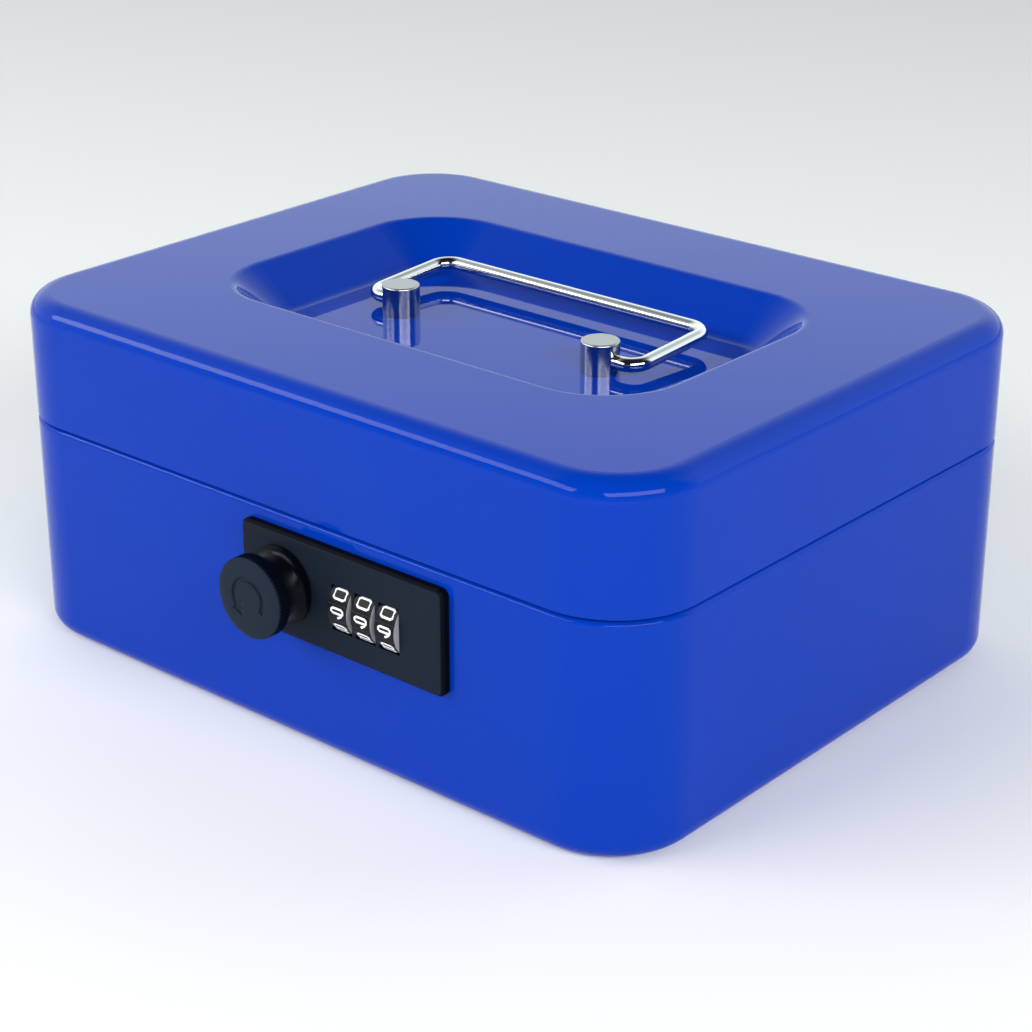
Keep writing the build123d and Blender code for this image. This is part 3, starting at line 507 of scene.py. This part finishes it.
def knobMesh():
    length = knobBack - knobFront
    outline = [
        (0.0, 0.0),
        (knob["flange"] - 0.0002, 0.0),
        (knob["flange"], 0.0002),
        (knob["flange"], knob["flangeEdge"]),
    ]
    flareSteps = 8
    for index in range(1, flareSteps + 1):
        turn = index / flareSteps * math.pi / 2
        outline.append((
            knob["flange"] - (knob["flange"] - knob["waist"]) * math.sin(turn),
            knob["flangeEdge"] + knob["flareRise"] * (1 - math.cos(turn)),
        ))
    outline += [
        (knob["waist"], knob["headBack"] - 0.0006),
        (knob["waist"] + 0.0004, knob["headBack"] - 0.0001),
        (knob["head"] - 0.0007, knob["headBack"] + 0.0002),
        (knob["head"] - 0.0002, knob["headBack"] + 0.0004),
        (knob["head"], knob["ribStart"]),
        (knob["head"], knob["ribEnd"]),
        (knob["head"] - 0.0001, knob["ribEnd"] + 0.0002),
        (knob["face"], length - knob["dome"]),
    ]
    for share in (0.8, 0.6, 0.4, 0.2):
        outline.append((knob["face"] * share, length - knob["dome"] * share * share))
    outline.append((0.0, length))
    shape = bmesh.new()
    points = [shape.verts.new((radius, -rise, 0)) for radius, rise in outline]
    for first, second in zip(points, points[1:]):
        shape.edges.new((first, second))
    bmesh.ops.spin(
        shape,
        geom=shape.verts[:] + shape.edges[:],
        axis=(0, 1, 0),
        cent=(0, 0, 0),
        angle=2 * math.pi,
        steps=knob["steps"],
        use_merge=True,
    )
    bmesh.ops.remove_doubles(shape, verts=shape.verts, dist=1e-7)
    for vert in shape.verts:
        rise = -vert.co.y
        if knob["ribStart"] - 1e-6 < rise < knob["ribEnd"] + 1e-6:
            angle = math.atan2(vert.co.z, vert.co.x)
            inward = knob["ribDepth"] * (1 - math.cos(knob["ribs"] * angle)) / 2
            scale = 1 - inward / knob["head"]
            vert.co.x *= scale
            vert.co.z *= scale
    bmesh.ops.translate(shape, verts=shape.verts, vec=(knobAxis.x, knobBack, knobAxis.z))
    return meshFrom("knobBlank", shape)


def arrowCutter():
    # a horseshoe band that ends in an arrow head, sunk into the knob's face
    half = knob["arrowWidth"] / 2
    shape = bmesh.new()
    corners = [
        (knob["arrowRadius"] - half, -0.001),
        (knob["arrowRadius"] + half, -0.001),
        (knob["arrowRadius"] + half, knob["arrowDepth"]),
        (knob["arrowRadius"] - half, knob["arrowDepth"]),
    ]
    ends = [shape.verts.new((radius, depth, 0)) for radius, depth in corners]
    band = shape.faces.new(ends)
    start = knob["arrowSweep"] / 2 - math.pi / 2
    bmesh.ops.rotate(shape, verts=shape.verts, matrix=Matrix.Rotation(start, 3, "Y"))
    spun = bmesh.ops.spin(
        shape,
        geom=[band],
        axis=(0, 1, 0),
        cent=(0, 0, 0),
        angle=-knob["arrowSweep"],
        steps=48,
    )
    tip = [item for item in spun["geom_last"] if isinstance(item, bmesh.types.BMFace)]
    tipMiddle = tip[0].calc_center_median()
    outward = Vector((tipMiddle.x, 0, tipMiddle.z)).normalized()
    ahead = tip[0].normal.copy()
    ahead.y = 0
    ahead.normalize()
    for vert in tip[0].verts:
        side = (vert.co - tipMiddle).dot(outward)
        vert.co += outward * math.copysign(knob["arrowHead"], side)
    pushed = bmesh.ops.extrude_face_region(shape, geom=tip)
    for vert in [item for item in pushed["geom"] if isinstance(item, bmesh.types.BMVert)]:
        side = (vert.co - tipMiddle).dot(outward)
        vert.co += ahead * knob["arrowLength"] - outward * side * 0.96
    bmesh.ops.delete(shape, geom=tip, context="FACES")
    bmesh.ops.translate(shape, verts=shape.verts, vec=(knobAxis.x, knobFront, knobAxis.z))
    return meshFrom("arrowCutter", shape)


turned = cutFrom(knobMesh(), arrowCutter(), "knob")
turnKnob = addPiece("turn_knob", turned, finishes["black_knob"], "lock_knob")
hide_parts("knob")
print("cash box: knob turned, knurled and engraved")


# ---- numbers round the wheels

numbers = {
    "width": 0.0035,
    "height": 0.0023,
    "stroke": 0.0003,    # half the width of a stroke
    "proud": 0.00007,
    "corner": 0.3,       # share of a stroke's run that a corner cuts
    "step": math.radians(36),
}
strokes = {
    0: [[(-1, -1), (1, -1), (1, 1), (-1, 1), (-1, -1)]],
    1: [[(-0.5, 0.5), (0.1, 1), (0.1, -1)]],
    2: [[(-1, 1), (1, 1), (1, 0), (-1, 0), (-1, -1), (1, -1)]],
    3: [[(-1, 1), (1, 1), (1, -1), (-1, -1)], [(-0.4, 0), (1, 0)]],
    4: [[(-0.6, 1), (-1, -0.3), (1, -0.3)], [(0.5, 0.5), (0.5, -1)]],
    5: [[(1, 1), (-1, 1), (-1, 0), (1, 0), (1, -1), (-1, -1)]],
    6: [[(-0.1, 1), (-1, 0.1), (-1, -1), (1, -1), (1, 0), (-1, 0)]],
    7: [[(-1, 1), (1, 1), (0, -1)]],
    8: [[(-1, -1), (1, -1), (1, 1), (-1, 1), (-1, -1)], [(-1, 0), (1, 0)]],
    9: [[(0.1, -1), (1, -0.1), (1, 1), (-1, 1), (-1, 0), (1, 0)]],
}


def softened(run):
    # cuts each corner of a stroke in two; a stroke that meets itself is cut there too
    closed = run[0] == run[-1]
    points = []
    count = len(run)
    for index, here in enumerate(run):
        atEnd = index in (0, count - 1)
        if atEnd and not closed:
            points.append(here)
            continue
        if index == count - 1:
            continue
        before = run[index - 1] if index else run[-2]
        after = run[index + 1]
        for other in (before, after):
            share = numbers["corner"] / max(abs(other[0] - here[0]), abs(other[1] - here[1]))
            points.append((
                here[0] + (other[0] - here[0]) * share,
                here[1] + (other[1] - here[1]) * share,
            ))
    return points, closed


def numberMesh(digit):
    curve = bpy.data.curves.new("number", "CURVE")
    curve.dimensions = "3D"
    curve.bevel_depth = numbers["stroke"]
    curve.bevel_resolution = 2
    curve.use_fill_caps = True
    for run in strokes[digit]:
        points, closed = softened(run)
        spline = curve.splines.new("POLY")
        spline.points.add(len(points) - 1)
        for point, (across, up) in zip(spline.points, points):
            point.co = (across * numbers["width"] / 2, up * numbers["height"] / 2, 0, 1)
        spline.use_cyclic_u = closed
    holder = bpy.data.objects.new("number", curve)
    mesh = bpy.data.meshes.new_from_object(holder)
    bpy.data.objects.remove(holder)
    bpy.data.curves.remove(curve)
    return mesh


def numberRing(name, wheel):
    centre = middle(wheel)
    reach = (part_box(wheel)[1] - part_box(wheel)[0]).z / 2
    shape = bmesh.new()
    for digit in strokes:
        flat = numberMesh(digit)
        before = len(shape.verts)
        shape.from_mesh(flat)
        bpy.data.meshes.remove(flat)
        shape.verts.ensure_lookup_table()
        for vert in shape.verts[before:]:
            angle = (digit + 1) * numbers["step"] + vert.co.y / reach
            lift = vert.co.z * numbers["proud"] / numbers["stroke"]
            away = reach + lift
            vert.co = (
                centre.x + vert.co.x,
                centre.y - away * math.cos(angle),
                centre.z + away * math.sin(angle),
            )
    return meshFrom(name, shape)


paint = numberPaint()
for count in (1, 2, 3):
    ringMesh = numberRing(f"numbers_{count}", f"digit_wheel_{count}")
    addPiece(f"numbers_{count}", ringMesh, paint, f"number_wheel_{count}")
print("cash box: numbers on the wheels")


# ---- floor, light and camera

studio = {
    "floorRadius": 9.0,
    "floor": (0.965, 0.96, 0.96, 1),
    "floorPale": (0.98, 0.98, 0.98, 1),
    "floorGap": 0.0002,
    "backdrop": 1.45,     # behind the box, up to the sine of height low
    "front": 0.5,         # behind the camera, up to the sine of height frontLow
    "cool": (0.9, 1.0, 1.0, 1),
    "dark": 0.02,
    "low": 0.48,
    "high": 0.96,
    "frontLow": 0.1,
    "frontHigh": 0.3,
}


def floorFinish():
    shade = newFinish("paleFloor")
    cloud = shade.noise(3.0, 2.0)
    return shade.finish({
        "Base Color": shade.blendColour(cloud, studio["floor"], studio["floorPale"]),
        "Roughness": 0.9,
        "Specular IOR Level": 0.0,
    })


def makeFloor():
    shape = bmesh.new()
    bmesh.ops.create_circle(shape, cap_ends=True, segments=96, radius=studio["floorRadius"])
    mesh = bpy.data.meshes.new("floor")
    shape.to_mesh(mesh)
    shape.free()
    mesh.materials.append(floorFinish())
    floor = bpy.data.objects.new("floor", mesh)
    floor.location.z = cadBox[0].z - studio["floorGap"]
    bpy.context.scene.collection.objects.link(floor)


view = {
    "place": Vector((0.3732, -0.4308, 0.2787)),
    "target": Vector((0.001445, 0.000194, 0.031262)),
    "lens": 85.96,
    "sensor": 36.0,
}


def makeWorld():
    world = bpy.data.worlds.new("studio")
    bpy.context.scene.world = world
    shade = Shade(world)
    direction = shade.node("TexCoord", out="Generated")
    x, y, z = shade.axes(direction)
    away = (view["target"] - view["place"])
    away.z = 0
    away.normalize()
    behind = shade.step(x * away.x + y * away.y, -0.12, 0.12)
    backdrop = studio["backdrop"] * (1 - shade.step(z, studio["low"], studio["high"]))
    front = studio["front"] * (1 - shade.step(z, studio["frontLow"], studio["frontHigh"]))
    level = studio["dark"] + front + behind * (backdrop - front)
    background = shade.node("Background", {}, {"Color": studio["cool"], "Strength": level})
    shade.node("OutputWorld", {}, {"Surface": background})


# place, width in metres and power in watts
softBoxes = {
    "leftBox": ((-0.8, -1.23, 0.85), 1.45, 16.5),
    "rightBox": ((1.3, -0.7, 0.85), 1.9, 26.5),
}


def softBox(name, place, aim, width, height, power):
    light = bpy.data.lights.new(name, "AREA")
    light.shape = "RECTANGLE"
    light.size = width
    light.size_y = height
    light.energy = power
    lamp = bpy.data.objects.new(name, light)
    lamp.location = place
    lamp.rotation_euler = (Vector(aim) - Vector(place)).to_track_quat("-Z", "Y").to_euler()
    bpy.context.scene.collection.objects.link(lamp)


def makeCamera():
    lens = bpy.data.cameras.new("camera")
    lens.lens = view["lens"]
    lens.sensor_width = view["sensor"]
    lens.clip_start = 0.01
    camera = bpy.data.objects.new("camera", lens)
    camera.location = view["place"]
    gaze = view["target"] - view["place"]
    camera.rotation_euler = gaze.to_track_quat("-Z", "Y").to_euler()
    bpy.context.scene.collection.objects.link(camera)
    bpy.context.scene.camera = camera


makeFloor()
makeWorld()
for name, (place, width, power) in softBoxes.items():
    softBox(name, place, (0, 0, 0.05), width, 0.45, power)
makeCamera()
bpy.context.scene.view_settings.view_transform = "Standard"
print("cash box: floor, lights and camera")
